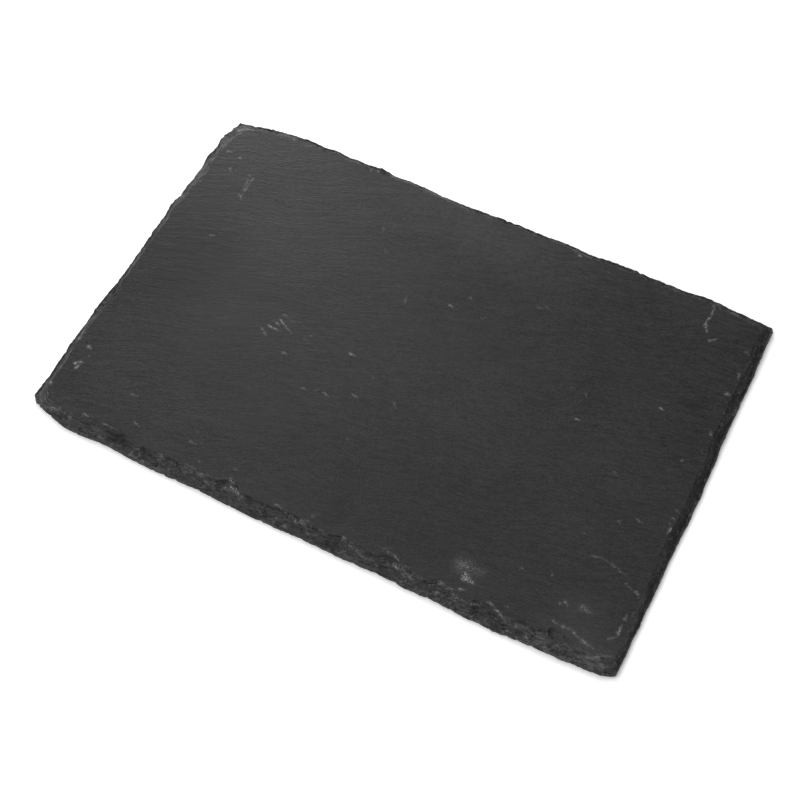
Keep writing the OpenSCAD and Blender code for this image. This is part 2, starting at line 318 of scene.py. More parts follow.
def on_board(pixels):
    """X and Y of what the photo shows on the board at each pixel.

    A ray from the camera ends at the board's height, which rises evenly from the lip at the outline to the
    split face. Each round finds the place at the last height, then goes half way to the height at that place.
    """
    away = (pixels - PHOTO_SIZE / 2) / (CAMERA_LENS / SENSOR_WIDTH * PHOTO_SIZE)
    rays = np.column_stack([away * (1, -1), -np.ones(len(away))]) @ np.array(camera_turn()).T
    eye = np.array(CAMERA_PLACE) / MM
    rise = np.ones(len(pixels))
    for _ in range(PLACING_ROUNDS):
        height = FLOOR_GAP + LIP_HEIGHT + (THICKNESS - LIP_HEIGHT) * rise
        x, y = eye[:2, None] + rays[:, :2].T * (height - eye[2]) / rays[:, 2]
        insets = np.column_stack([HALF_WIDTH + y, HALF_LENGTH - x, HALF_WIDTH - y, HALF_LENGTH + x])
        rise = (rise + np.clip((insets / PICKED_SLOPES).min(axis=1), 0, 1)) / 2
    return np.column_stack([x, y])


def placed(picks):
    """The picked marks on the board: start X and Y and end X and Y to 0.1 mm, width, strength."""
    picks = np.array(picks)
    ends = on_board(picks[:, :4].reshape(-1, 2)).round(1)
    return np.column_stack([ends.reshape(-1, 4), picks[:, 4:]])


def marks_at(flat, marks, steepness=1.0):
    """The strongest of the marks at each point: its strength, less along its run, and nothing at its width.

    A steeper fall starts nearer the width, and the mark is even inside it.
    """
    strongest = np.zeros(len(flat))
    for x0, y0, x1, y1, width, strength in marks:
        run = np.array([x1 - x0, y1 - y0])
        away = flat - (x0, y0)
        share = np.clip(away @ run / (run @ run), 0, 1)
        distance = np.hypot(*(away - share[:, None] * run).T)
        amount = abs(strength) * (1 - MARK_FADE * share) * np.clip(steepness * (1 - distance / width), 0, 1)
        strongest = np.maximum(strongest, amount)
    return strongest


def lattice_noise(points, sizes, seed):
    """Smooth noise from -1 to 1 in space: scattered numbers on a lattice of these sizes, eased between."""
    cell_place = points / np.asarray(sizes, float)
    cell = np.floor(cell_place).astype(np.int64)
    part = cell_place - cell
    part = part * part * (3 - 2 * part)
    total = np.zeros(len(points))
    for corner in np.ndindex(2, 2, 2):
        at = cell + corner
        code = np.bitwise_xor.reduce(at * LATTICE_PRIMES, axis=1) ^ seed * LATTICE_SEED_STEP
        for shift, factor in LATTICE_MIXES:
            code = (code ^ (code >> shift)) * factor & LARGEST_CODE
        weight = np.prod(np.where(corner, part, 1 - part), axis=1)
        total += weight * (code / LARGEST_CODE * 2 - 1)
    return total


def grain_place(points):
    """Place of each point along and across the grain: arc length and radius round the grain's far centre."""
    away = points[:, :2] - np.array(ARC_CENTRE)
    along = np.arctan2(away[:, 1], away[:, 0]) * ARC_RADIUS
    across = np.hypot(away[:, 0], away[:, 1])
    return np.column_stack([along, across, points[:, 2]])


class Edge:
    """Every column round the edge: its side, place in the tables, run along the edge, point and inset."""

    def __init__(self):
        sides, places, runs, points = [], [], [], []
        start = 0.0
        for side in range(4):
            length = 2 * HALF_SIZE[side % 2]
            count = round(length / COLUMN_PITCH)
            t = np.arange(count) / count
            unit = CORNERS[side] + (CORNERS[(side + 1) % 4] - CORNERS[side]) * t[:, None]
            sides.append(np.full(count, side))
            places.append((2 * t - 1) * (1 if side < 2 else -1))
            runs.append(start + t * length)
            points.append(unit * HALF_SIZE)
            start += length
        self.side = np.concatenate(sides)
        self.place = np.concatenate(places)
        self.run = np.concatenate(runs)
        self.point = np.concatenate(points)
        self.inset = self.outline_inset()

    def read(self, tables):
        """The value of its own side's table at each column, even between the table's places."""
        values = np.zeros(len(self.run))
        for side, table in enumerate(np.array(rows) for rows in tables):
            own = self.side == side
            values[own] = np.interp(self.place[own], table[:, 0], table[:, 1])
        return values

    def corner_inset(self):
        """Inset at which a column meets the deepest straight break of its corner."""
        away = HALF_SIZE + EDGE_PROUD - abs(self.point)
        right, back = self.point[:, 0] >= 0, self.point[:, 1] >= 0
        corner = np.where(back, np.where(right, 2, 3), np.where(right, 1, 0))
        deepest = np.full(len(self.run), -np.inf)
        for number, cuts in enumerate(CORNER_LEG_SHARES):
            for cut in cuts:
                legs = np.array(cut) * CORNER_BREAK
                rate = (abs(self.point) / (HALF_SIZE * legs)).sum(axis=1)
                inset = (1 - (away / legs).sum(axis=1)) / rate
                deepest = np.where(corner == number, np.maximum(deepest, inset), deepest)
        return deepest

    def outline_inset(self):
        """Wander from the tables plus small breaks, moved so that the sides' proudest points are level."""
        inset = self.read(WANDER_SHARES) * EDGE_WANDER
        inset += breaks(self.run, BREAK_LENGTH, OUTLINE_SEED) * EDGE_BITE
        for side in range(4):
            own = self.side == side
            inset[own] -= inset[own].min() + EDGE_PROUD
        return np.maximum(inset, self.corner_inset())

    def slope(self):
        """Width of the slope at each column, and how much of it a shell-shaped chip made, from 0 to 1."""
        plain = self.read(SLOPE_SHARES) * np.array(SIDE_SLOPES)[self.side]
        chips = np.zeros(len(self.run))
        for side in range(4):
            own = self.side == side
            for middle, length_share, reach_share in CHIP_SHARES[side]:
                t = (self.place[own] - middle) * HALF_SIZE[side % 2] / (length_share * CHIP_HALF_LENGTH)
                arc = np.clip(1 - t * t, 0, 1) ** CHIP_ROUNDNESS
                chips[own] = np.maximum(chips[own], reach_share * CHIP_REACH * arc)
        chips = eased(chips, 1.0) - np.maximum(self.inset, 0)
        stray = (breaks(self.run, BREAK_LENGTH, CREST_SEED) - 0.5) * LEDGE_STRAY
        chipped = eased(np.clip((chips - plain) / CHIP_BLEND + 0.5, 0, 1), 2 * CHIP_BLEND)
        return np.maximum(plain, chips) + stray, chipped


def inset_points(nominal, inset):
    """Nominal points with both half sides shortened by the inset."""
    return nominal * (1 - inset[:, None] / HALF_SIZE)


def split_face_relief(points):
    """Depth of the split face below its high points: shallow waves along the grain and broad hollows."""
    grain = grain_place(points)
    return sum(
        depth * (0.5 + 0.5 * lattice_noise(grain if along_grain else points, size, seed))
        for size, along_grain, seed, depth in FACE_WAVES
    )


def scoops(run, up, scoop):
    """Scoops broken out side by side along the slope: how deep it is there, and how near a ridge.

    Each cell of a lattice has a bowl at a scattered place. At a distance r from its middle, in cells, the
    bowl is its own depth minus 0.7 r squared. The deepest counts. At a ridge the next one is as deep.
    """
    length, reach, depth, seed = scoop
    cells = round(PERIMETER / length)
    x = run / PERIMETER * cells
    y = (up + SWAY_REACH * breaks(run, SWAY_LENGTH, seed + 3)) / reach
    cell_x, cell_y = np.floor(x), np.floor(y)
    bowls = []
    for step_x, step_y in np.ndindex(3, 3):
        at_x, at_y = cell_x + step_x - 1, cell_y + step_y - 1
        name = at_x % cells + SCOOP_ROW_STEP * at_y
        away = (x - at_x - dice(name, seed)) ** 2 + (y - at_y - dice(name, seed + 1)) ** 2
        bowls.append(0.4 + 0.6 * dice(name, seed + 2) - 0.7 * away)
    bowls = np.sort(bowls, axis=0)
    return depth * np.clip(bowls[-1], 0, 1), np.exp(-(((bowls[-1] - bowls[-2]) / RIDGE_SHARE) ** 2))


def layered(height, run, up):
    """Draws heights down to the slate's layers, in patches: the part t between layers becomes t to the 4."""
    level = height / LAYER + LAYER_SWAY * breaks(run, *LAYER_SWAY_RUN)
    part = level - np.floor(level)
    patch = lattice_noise(np.column_stack([run, up, 0 * run]), *LAYER_PATCH)
    return height + LAYER * LAYER_SHARE * np.clip(0.6 + patch, 0, 1) * (part ** 4 - part)


def ragged(run, chains):
    """Chains of bites of several lengths together, each times its own depth."""
    return sum(depth * bites(run, length, seed) for depth, length, seed in chains)


def slope_rows(edge):
    """Inset, height, paleness with its painted shade, and ridge of the rows that climb the slope, from the
    underside to the crest.

    A thin lip stands at the outline. Above it a share u of the width has climbed u to the power of the bend,
    near 1 on the plain slope and larger in a chip, as chips are hollow. Scoops and layers are cut into that.
    """
    run = edge.run
    none, whole = np.zeros(len(run)), np.ones(len(run))
    width, chipped = edge.slope()
    notch_depth, notch_length, notch_seed = OUTLINE_NOTCH
    broken = notch_depth * notches(run, notch_length, notch_seed) + ragged(run, OUTLINE_BITES)
    inset = edge.inset + np.array(OUTLINE_RAGGEDNESS)[edge.side] * broken
    crest = edge.inset + width + np.array(SIDE_RAGGEDNESS)[edge.side] * ragged(run, CREST_BITES)
    marks = placed(SLOPE_PICKS)
    bruises, hollows = marks[marks[:, -1] > 0], marks[marks[:, -1] < 0]
    slow, quick = (breaks(run, *numbers) for numbers in BRUISE_RUNS)
    side_ridge = np.array(SIDE_RIDGES)[edge.side] * np.clip(2.2 * slow * (0.4 + 0.6 * quick), 0, 1)
    slow, quick = (breaks(run, *numbers) for numbers in LIP_RUNS)
    lip = LIP_HEIGHT * (0.6 + 0.7 * slow) * (0.7 + 0.5 * quick)
    rows = [(inset, none, whole, none), (inset + 0.3 * LIP_LEAN, 0.5 * lip, whole, none)]
    bend = 0.85 + 0.5 * breaks(run, *BEND_RUN) + 0.9 * chipped
    start = inset + LIP_LEAN
    for u in np.arange(SLOPE_ROWS + 1) / SLOPE_ROWS:
        up = u * (crest - start)
        wide, wide_ridge = scoops(run, up, WIDE_SCOOP)
        fine, fine_ridge = scoops(run, up, FINE_SCOOP)
        inside = min(u / FOOT_SHARE, (1 - u) / CREST_SHARE, 1)
        height = lip + (THICKNESS - lip) * u ** bend
        height = layered(height, run, up) * inside + height * (1 - inside)
        flat = inset_points(edge.point, start + up)
        hollow = marks_at(flat, hollows, HOLLOW_STEEPNESS)
        height = np.maximum(height - inside * (wide + fine + HOLLOW_DEPTH * hollow), 0.35 * lip)
        crest_wear = np.exp(-(((1 - u) / CREST_SHARE) ** 2)) * (0.5 + 0.5 * chipped)
        # Paleness, less high up in chips and in hollows: painted shade of their steep walls
        dust_and_painted_light = (1 - 0.8 * chipped * np.clip((u - 0.3) / 0.4, 0, 1)) * (1 - 1.3 * hollow) * (u < 1)
        ridge = side_ridge * np.maximum(np.maximum(wide_ridge, 0.7 * fine_ridge), crest_wear)
        rows.append((start + up, height, dust_and_painted_light, np.maximum(ridge, marks_at(flat, bruises))))
    return rows


class RingMesh:
    """A closed surface of rings of points, each joined to the next with as many or half as many."""

    def __init__(self):
        self.points, self.quads, self.triangles = [], [], []
        self.pale, self.ridge = [], []
        self.count = 0

    def ring(self, flat, height, pale=0.0, ridge=0.0):
        """Adds a ring from its X and Y, heights and two surface values, and returns its point numbers."""
        numbers = self.count + np.arange(len(flat))
        self.points.append(np.column_stack([flat, np.broadcast_to(height, len(flat))]))
        self.pale.append(np.broadcast_to(pale, len(flat)))
        self.ridge.append(np.broadcast_to(ridge, len(flat)))
        self.count += len(flat)
        return numbers

    def join(self, outer, inner, up=True):
        """Fills between two rings. An inner ring of half the number takes three triangles for each point."""
        outer_next, inner_next = np.roll(outer, -1), np.roll(inner, -1)
        if len(inner) == len(outer):
            faces = np.column_stack([outer, outer_next, inner_next, inner])
            self.quads.append(faces if up else faces[:, ::-1])
            return
        a, b, c = outer[0::2], outer[1::2], outer_next[1::2]
        for faces in ((a, b, inner), (b, inner_next, inner), (b, c, inner_next)):
            faces = np.column_stack(faces)
            self.triangles.append(faces if up else faces[:, ::-1])

    def close(self, outer, relief, up=True):
        """Closes the innermost ring onto the middle line that it shrinks to, without empty triangles."""
        long_count = round(len(outer) * HALF_LENGTH / (2 * (HALF_LENGTH + HALF_WIDTH)))
        short_count = len(outer) // 2 - long_count
        reach = HALF_LENGTH - HALF_WIDTH
        line = np.column_stack([np.linspace(-reach, reach, long_count + 1), np.zeros(long_count + 1)])
        numbers = self.ring(line, relief(line))
        front = np.arange(long_count)
        meets = numbers[np.concatenate([
            front,
            np.full(short_count, long_count),
            long_count - front,
            np.zeros(short_count, int),
        ])]
        outer_next, meets_next = np.roll(outer, -1), np.roll(meets, -1)
        for faces in ((outer, outer_next, meets_next), (outer, meets_next, meets)):
            faces = np.column_stack(faces)
            whole = (faces[:, 1] != faces[:, 2]) & (faces[:, 0] != faces[:, 2])
            self.triangles.append((faces if up else faces[:, ::-1])[whole])

    def arrays(self):
        points = np.concatenate(self.points)
        return points, np.concatenate(self.quads), np.concatenate(self.triangles)


def ring_insets(first, halvings, pitches):
    """Insets up to the middle of the board, with a pitch for each stretch, and True where a stretch ends."""
    steps = []
    start = first
    for end, pitch in zip((*halvings, HALF_WIDTH), pitches):
        count = max(1, round((end - start) / pitch))
        steps += [(start + (end - start) * i / count, i == count) for i in range(1, count + 1)]
        start = end
    return steps


def add_split_face(mesh, edge, crest_inset, crest_ring):
    """The upper face: rings that ease from the crest's outline to even insets, ever sparser."""
    def height(flat):
        return FLOOR_GAP + THICKNESS - split_face_relief(np.column_stack([flat, np.zeros(len(flat))]))

    nominal, ring = edge.point, crest_ring
    first = HALVING_INSETS[0]
    for inset, last in ring_insets(0.0, HALVING_INSETS, RING_PITCHES):
        if inset >= HALF_WIDTH:
            mesh.close(ring, height)
            return
        if inset <= first:
            own_inset = crest_inset + (first - crest_inset) * (inset / first) ** 1.5
        else:
            own_inset = np.full(len(nominal), inset)
        if last:
            nominal, own_inset = nominal[::2], own_inset[::2]
        flat = inset_points(nominal, own_inset)
        new_ring = mesh.ring(flat, height(flat))
        mesh.join(ring, new_ring)
        ring = new_ring


def add_underside(mesh, edge, outline_inset, outline_ring):
    """The lower face: rings from the outline inwards, flat within a fraction of a millimetre."""
    def height(flat):
        relief = split_face_relief(np.column_stack([flat, np.full(len(flat), UNDERSIDE_DRAW)]))
        away = np.clip(np.min(HALF_SIZE - abs(flat), axis=1) / RIM_WIDTH, 0, 1)
        return FLOOR_GAP + 0.5 * relief * away

    nominal, ring = edge.point, outline_ring
    insets = list(UNDERSIDE_INSETS)
    while insets[-1] + UNDERSIDE_PITCH < HALF_WIDTH:
        insets.append(insets[-1] + UNDERSIDE_PITCH)
    for number, inset in enumerate(insets):
        own_inset = inset + outline_inset * max(0, 1 - inset / OUTLINE_FADE)
        if number < UNDERSIDE_HALVINGS:
            nominal, own_inset, outline_inset = nominal[::2], own_inset[::2], outline_inset[::2]
        flat = inset_points(nominal, own_inset)
        new_ring = mesh.ring(flat, height(flat))
        mesh.join(ring, new_ring, up=False)
        ring = new_ring
    mesh.close(ring, height, up=False)


def roughen(points, amount):
    """Moves points by fine scattered lumps in all three directions, by up to the given amount."""
    shift = sum(
        share * np.column_stack([lattice_noise(points, size, seed + axis) for axis in range(3)])
        for size, share, seed in LUMPS
    )
    return points + amount[:, None] * shift


def add_object(name, data):
    """An object of the scene, at the origin, that holds a mesh, a lamp or a camera."""
    thing = bpy.data.objects.new(name, data)
    bpy.context.scene.collection.objects.link(thing)
    return thing


def mesh_object(name, points, quads, triangles, material, sharp_angle):
    """A mesh object from whole arrays, in millimetres, smooth but for the edges sharper than the angle."""
    mesh = bpy.data.meshes.new(name)
    corners = np.concatenate([quads.ravel(), triangles.ravel()]).astype(np.int32)
    starts = np.concatenate([np.arange(len(quads)) * 4, quads.size + np.arange(len(triangles)) * 3])
    mesh.vertices.add(len(points))
    mesh.vertices.foreach_set("co", (points * MM).astype(np.float32).ravel())
    mesh.loops.add(len(corners))
    mesh.loops.foreach_set("vertex_index", corners)
    mesh.polygons.add(len(starts))
    mesh.polygons.foreach_set("loop_start", starts.astype(np.int32))
    mesh.update(calc_edges=True)
    mesh.polygons.foreach_set("use_smooth", np.ones(len(starts), bool))
    mesh.set_sharp_from_angle(angle=np.radians(sharp_angle))
    mesh.materials.append(material)
    return add_object(name, mesh)


def add_values(piece, name, values):
    """Puts one number per point on the piece, for its material to read."""
    layer = piece.data.attributes.new(name, "FLOAT", "POINT")
    layer.data.foreach_set("value", values.astype(np.float32))


def build_slab(material):
    """The slate slab: the underside, the broken slope in rows, and the upper split face."""
    edge, mesh = Edge(), RingMesh()
    rows = slope_rows(edge)
    # Paleness of the slope: partly chalky stone, partly painted light on each side
    side_pale = edge.read(PALENESS)
    rings = [
        mesh.ring(inset_points(edge.point, inset), FLOOR_GAP + height, pale=side_pale * dust_and_painted_light, ridge=ridge)
        for inset, height, dust_and_painted_light, ridge in rows
    ]
    for lower, upper in zip(rings, rings[1:]):
        mesh.join(lower, upper)
    crest = rings[-1]
    add_split_face(mesh, edge, rows[-1][0], crest)
    add_underside(mesh, edge, rows[0][0], rings[0])
    points, quads, triangles = mesh.arrays()
    pale, ridge = np.concatenate(mesh.pale), np.concatenate(mesh.ridge)
    points[crest, 2] -= split_face_relief(points[crest])
    points = np.clip(roughen(points, LUMP_REACH * (pale != 0)), SLAB_LOW, SLAB_HIGH)
    piece = mesh_object("slate_board", points, quads, triangles, material, SLATE_SHARP_ANGLE)
    add_values(piece, "pale", pale)
    add_values(piece, "ridge", ridge)
    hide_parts("slate_slab")
    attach(piece, "root")


def add_node(tree, kind, *inputs, **settings):
    """Adds a shader node with its settings, and its inputs' values or links in order. None skips one."""
    node = tree.nodes.new("ShaderNode" + kind)
    for name, value in settings.items():
        setattr(node, name, value)
    for socket, value in zip(node.inputs, inputs):
        if isinstance(value, bpy.types.NodeSocket):
            tree.links.new(value, socket)
        elif value is not None:
            socket.default_value = value
    return node


def math(tree, operation, a, b=None, c=None, clamp=False):
    return add_node(tree, "Math", a, b, c, operation=operation, use_clamp=clamp).outputs[0]


def vector_math(tree, operation, a, b=None):
    node = add_node(tree, "VectorMath", a, b, operation=operation)
    return node.outputs["Value" if operation in ("LENGTH", "DOT_PRODUCT", "DISTANCE") else "Vector"]


def rescale(tree, value, low, high, to_low=0.0, to_high=1.0):
    """Maps a value from one range to another, easing in and out and holding at both ends."""
    node = add_node(tree, "MapRange", value, low, high, to_low, to_high, interpolation_type="SMOOTHSTEP")
    return node.outputs[0]


def noise(tree, place, scale, detail=2.0, distortion=0.0, output="Fac"):
    node = add_node(tree, "TexNoise", place)
    node.inputs["Scale"].default_value = scale
    node.inputs["Detail"].default_value = detail
    node.inputs["Distortion"].default_value = distortion
    return node.outputs[output]


def new_material(name):
    material = bpy.data.materials.new(name)
    material.use_nodes = True
    tree = material.node_tree
    return material, tree, tree.nodes["Principled BSDF"]


def object_place(tree):
    return add_node(tree, "TexCoord").outputs["Object"]


def grey(tree, tone):
    return add_node(tree, "CombineColor", tone, tone, tone).outputs[0]


def mix_colours(tree, factor, first, second, blend="MIX"):
    """The first colour turned into the second by the factor, or the two blended in another way."""
    node = add_node(tree, "Mix", data_type="RGBA", blend_type=blend)
    for name, value in (("Factor", factor), ("A", first), ("B", second)):
        if isinstance(value, bpy.types.NodeSocket):
            tree.links.new(value, node.inputs[name])
        else:
            node.inputs[name].default_value = value
    return node.outputs["Result"]


def add_bump(tree, shader, height, distance):
    """Fine relief in the finish: a height of 1 stands the distance proud, in millimetres."""
    bump = add_node(tree, "Bump")
    bump.inputs["Strength"].default_value = 1.0
    bump.inputs["Distance"].default_value = distance * MM
    tree.links.new(height, bump.inputs["Height"])
    tree.links.new(bump.outputs[0], shader.inputs["Normal"])


def grain_coordinates(tree, place):
    """Place along and across the grain's swaying arcs, and height, in metres."""
    centre = (ARC_CENTRE[0] * MM, ARC_CENTRE[1] * MM, 0)
    away = vector_math(tree, "SUBTRACT", place, centre)
    flat = vector_math(tree, "MULTIPLY", away, (1, 1, 0))
    parts = add_node(tree, "SeparateXYZ", away).outputs
    turn = math(tree, "ARCTAN2", parts["Y"], parts["X"])
    along = math(tree, "MULTIPLY", turn, ARC_RADIUS * MM)
    sway = noise(tree, place, 1 / (GRAIN_SWAY[0] * MM), 1)
    across = math(tree, "MULTIPLY_ADD", sway, GRAIN_SWAY[1] * MM, vector_math(tree, "LENGTH", flat))
    return add_node(tree, "CombineXYZ", along, across, parts["Z"]).outputs[0]


def stretched_noise(tree, grain, sizes, detail=2.0, distortion=0.0):
    """Noise from -1 to 1. Its lumps have the given sizes along the grain, across it and in height."""
    scales = tuple(1 / (size * MM) for size in sizes)
    fac = noise(tree, vector_math(tree, "MULTIPLY", grain, scales), 1.0, detail, distortion)
    return rescale(tree, fac, 0.3, 0.7, -1, 1)


# Scuffs and scratches on the split face and its crest, picked in the same way as the marks on the slope
SCUFF_PICKS = (
    (261.5, 328.5, 263.5, 330, 1.4, 0.8), (264.5, 332.5, 266.5, 335, 1.4, 0.85),
    (269, 325.5, 281, 331.5, 1.4, 1), (274, 320.5, 276, 322, 1.2, 0.7), (277, 322.5, 280, 325, 1.4, 1),
    (280, 319.5, 292, 333, 1.2, 1), (284, 314.5, 288.5, 319, 1.8, 0.6), (290, 320.5, 301, 322.5, 1.2, 0.5),
    (310.5, 335.5, 312, 336.5, 1.1, 0.6), (304, 339, 311, 344, 1.1, 0.5), (283, 352.5, 287, 354, 1.6, 0.75),
    (350, 353, 355.5, 356, 1.4, 1), (301.5, 387.5, 308, 390, 1.2, 0.55),
    (314, 390.5, 319.5, 388.5, 1.2, 0.5), (324, 393, 328.5, 396.5, 1.4, 0.75),
    (353, 394.5, 357.5, 397.5, 1.4, 0.75), (394, 403, 395.5, 408.5, 1.4, 0.5),
    (373, 378, 374, 379, 1.2, 0.55), (249, 175.5, 251, 176, 1.2, 0.85), (253, 178, 240.5, 197, 1.2, 0.7),
    (248, 180, 241.5, 192, 1.1, 0.7), (244.5, 190, 247.5, 187.5, 1.2, 1), (239, 194, 242, 200, 1.2, 0.85),
    (240, 157.5, 240.5, 158.5, 1.2, 0.9), (230, 168, 230.5, 171, 1.4, 0.8), (227, 151, 233, 152, 1.3, 0.8),
    (210.5, 235, 214.5, 235.5, 1.4, 0.85), (200, 180.5, 201, 181.5, 1.1, 0.7),
    (238, 127, 248.5, 127, 1.6, 1.25), (248.5, 127, 262, 131, 1.5, 1.1), (262, 131, 284, 134, 1.4, 0.75),
    (223, 144, 238, 131, 2.5, 0.6), (294, 139, 302, 141, 1.8, 0.6), (306, 146, 317, 147, 1.4, 0.5),
    (460, 571, 467, 578, 1.1, 0.5), (464, 578, 473, 583, 2.5, 1.4), (466, 574, 470, 579, 1.9, 1.2),
    (462, 565, 482, 572, 7.2, 0.65), (440, 582, 447, 586.5, 1.4, 1), (447, 587, 458, 590, 1.2, 0.8),
    (459, 589, 466, 590, 1.4, 0.85), (472, 604, 489, 602, 1.3, 0.85), (489, 602, 497, 611, 1.3, 0.85),
    (496, 610, 506, 622, 1.6, 0.95), (506, 606, 509, 607.5, 1.2, 0.65), (516, 625, 532, 627, 1.8, 0.65),
    (563, 626, 573, 630.5, 1.6, 0.75), (582.5, 641, 594, 648.5, 1.6, 0.95),
    (553.5, 620.5, 558.5, 624, 1.3, 0.75), (573.5, 632.5, 580, 638.5, 1.3, 0.75),
    (560, 603, 562, 604.5, 1.4, 0.7), (565, 602, 567.5, 606.5, 1.4, 0.75), (583, 608, 591, 613, 3.4, 0.65),
    (588.5, 656.5, 613.5, 656.5, 1.4, 0.75), (608, 639, 618, 636, 1.4, 0.7), (618, 633, 622, 626, 1.6, 1),
    (625, 619, 627.5, 614, 1.4, 0.8), (632, 616, 636, 612, 1.2, 0.5), (592, 555, 601, 558, 1.2, 0.65),
    (601, 558, 611, 564, 1.1, 0.5), (611, 564, 621, 570, 1.4, 0.7), (619, 570, 627, 575.5, 1.2, 0.6),
    (626, 584, 635, 592, 1.1, 0.65), (636.5, 592, 639, 599, 1.6, 0.8), (583, 532, 587, 535, 1.2, 0.5),
    (522, 568, 524, 570, 1.4, 0.55), (552, 574.5, 553, 575.5, 1.1, 0.7), (89, 346.5, 91, 349.5, 1.8, 0.9),
    (89, 355.5, 90, 356.5, 1.2, 0.75), (75.5, 363, 79, 361, 1.8, 1.15), (76, 367.5, 79.5, 364.5, 1.5, 1.15),
    (81, 361.5, 83, 362.5, 1.5, 1.1), (50, 381, 51.5, 385, 1.6, 1.2), (53, 383, 54, 384, 1.2, 0.5),
    (84, 414, 88.5, 416.5, 1.4, 0.85), (132, 394, 137.5, 396.5, 1.8, 0.6),
    (135, 422, 139.5, 427.5, 1.1, 0.75), (190, 441, 196.5, 444.5, 1.4, 0.6),
    (103, 423, 118, 430.5, 1.1, 0.65), (186, 466, 191, 467, 1.4, 0.6), (191, 467, 202, 472.5, 1.1, 0.5),
    (201, 474, 206, 474.5, 1.4, 1), (207, 474, 214, 480, 1.1, 0.5), (199, 461, 200.5, 463, 1.1, 0.5),
    (231, 479.5, 234.5, 482.5, 1.8, 1), (223, 485, 230, 485.5, 1.4, 0.65), (230, 485, 236, 489, 1.9, 1),
    (235.5, 469, 238.5, 470.5, 1.4, 0.65), (276, 504, 283, 508.5, 1.4, 0.7),
    (285, 511.5, 287, 513.5, 1.2, 0.65), (307, 520, 311, 526, 1.1, 0.5),
    (312, 516.5, 317.5, 514, 1.4, 0.65), (343, 537, 346.5, 540.5, 1.4, 0.9), (384, 549, 389, 548, 1.2, 0.6),
    (388, 551.5, 393, 554, 1.2, 0.6), (395, 556, 398.5, 560, 1.4, 0.8), (405, 567, 409.5, 567.5, 1.2, 0.6),
    (347.5, 438.5, 349, 439.5, 1.4, 0.65), (580, 255, 582.5, 256.5, 1.6, 1),
    (576, 251.5, 577, 253, 1.2, 0.6), (538, 307, 542.5, 308.5, 1.4, 0.7),
    (547, 307.5, 550, 308.5, 1.4, 0.6), (577, 302.5, 578, 303.5, 1.1, 0.5),
    (609, 272, 611, 273.5, 1.2, 0.5), (715, 303, 711.5, 316, 1.6, 1), (709.5, 317.5, 706, 323, 1.5, 1.1),
    (705.5, 324, 707, 332, 1.6, 1.15), (709, 340.5, 719, 338, 1.4, 0.85),
    (746.5, 352, 749.5, 355, 1.8, 0.6), (739, 374, 738, 381, 1.4, 0.8),
    (726.5, 393.5, 730.5, 394.5, 1.9, 1), (725, 413, 728.5, 418.5, 1.8, 0.5),
    (570.5, 387, 575, 387.5, 1.2, 0.5), (586, 394, 586.5, 398, 1.2, 0.5), (660, 408, 664, 410.5, 1.4, 0.9),
    (576, 419, 580, 419.8, 1.4, 0.9), (711, 433, 712.5, 436.5, 1.6, 1), (702, 451, 704, 454.5, 1.4, 0.5),
    (682, 460.5, 683.5, 462, 1.4, 0.9), (719, 422, 721.5, 425.5, 1.2, 0.5),
    (614, 472, 617.5, 475.5, 1.2, 0.6), (677, 510.5, 679.5, 513.5, 1.2, 0.7),
    (673, 518, 675.5, 520.5, 1.2, 0.7), (670, 523.5, 671.5, 525.5, 1.2, 0.55),
    (670.5, 529, 667, 533.5, 1.6, 1), (637, 520, 642.5, 522.5, 1.4, 0.7),
    (619, 521.5, 620, 524.5, 1.4, 0.6), (383, 228, 383.5, 231.5, 1.1, 0.5),
    (385, 250, 388.5, 253, 1.4, 0.5), (397, 283.5, 401, 287.5, 1.1, 0.5), (405, 301, 406.5, 297, 1.4, 0.8),
    (450, 305, 454.5, 308.5, 1.4, 0.8), (470, 297.5, 472.5, 299.5, 1.2, 0.7),
    (482, 318.5, 488, 316.5, 1.2, 0.5), (469, 207.5, 478.5, 212.5, 1.9, 0.7),
    (478, 209, 484, 215, 1.6, 0.5), (484, 214, 488, 217.5, 1.4, 0.5),
)

# Faint clouds on the split face, partly the stone's own tone and partly painted light and shade that move
# where the face looks brighter: middle X and Y, reach along X and Y, how much lighter, or darker below zero
TONE_AND_PAINTED_LIGHT_CLOUDS = (
    (-146, 97, 8, 5, 1.6), (-150, 50, 5, 62, 1.8), (-120, 100, 30, 8, 0.8), (-40, 100, 9, 4, 0.8),
    (-68, 99, 12, 3, -0.5), (-104, -94, 6, 4, -0.6), (90, -92, 8, 4, -0.3), (118, -14, 14, 6, 0.25),
    (124, -76, 12, 6, 0.4), (76, -84, 8, 5, 0.35), (131, 38, 8, 3.5, -0.35), (90, 18, 16, 7, -0.2),
    (9, -82, 6, 14, -0.3), (-118, 14, 22, 10, -0.12), (-105, 0, 30, 14, -0.05), (-120, 75, 26, 18, 0.08),
    (-135, 10, 40, 62, -0.55), (12, 94, 70, 34, 0.65), (110, 97, 44, 20, 0.4), (132, -92, 26, 14, 0.8),
    (25, -62, 84, 42, -0.3),
)

# Where the grain of the split face is stronger or fainter, in the same way
GRAIN_CLOUDS = (
    (-95, -10, 50, 50, -0.35), (-120, 80, 42, 28, 0.6), (-40, 76, 60, 30, 0.3), (30, 92, 50, 22, 0.25),
    (-72, 22, 26, 16, 0.2), (-52, -54, 34, 18, -0.25), (98, 44, 24, 14, -0.15),
)
GRAIN_STRENGTH = 0.88

# Heights between which the marks of the upper side fade in
UPPER_HEIGHTS = ((FLOOR_GAP + 0.4) * MM, (FLOOR_GAP + 1.2) * MM)

SLATE_COLOUR = (0.02, 0.02, 0.02, 1)
CHALK_COLOUR = (0.3, 0.3, 0.3, 1)
DARKEST = 0.3
SLATE_BUMP = 0.12

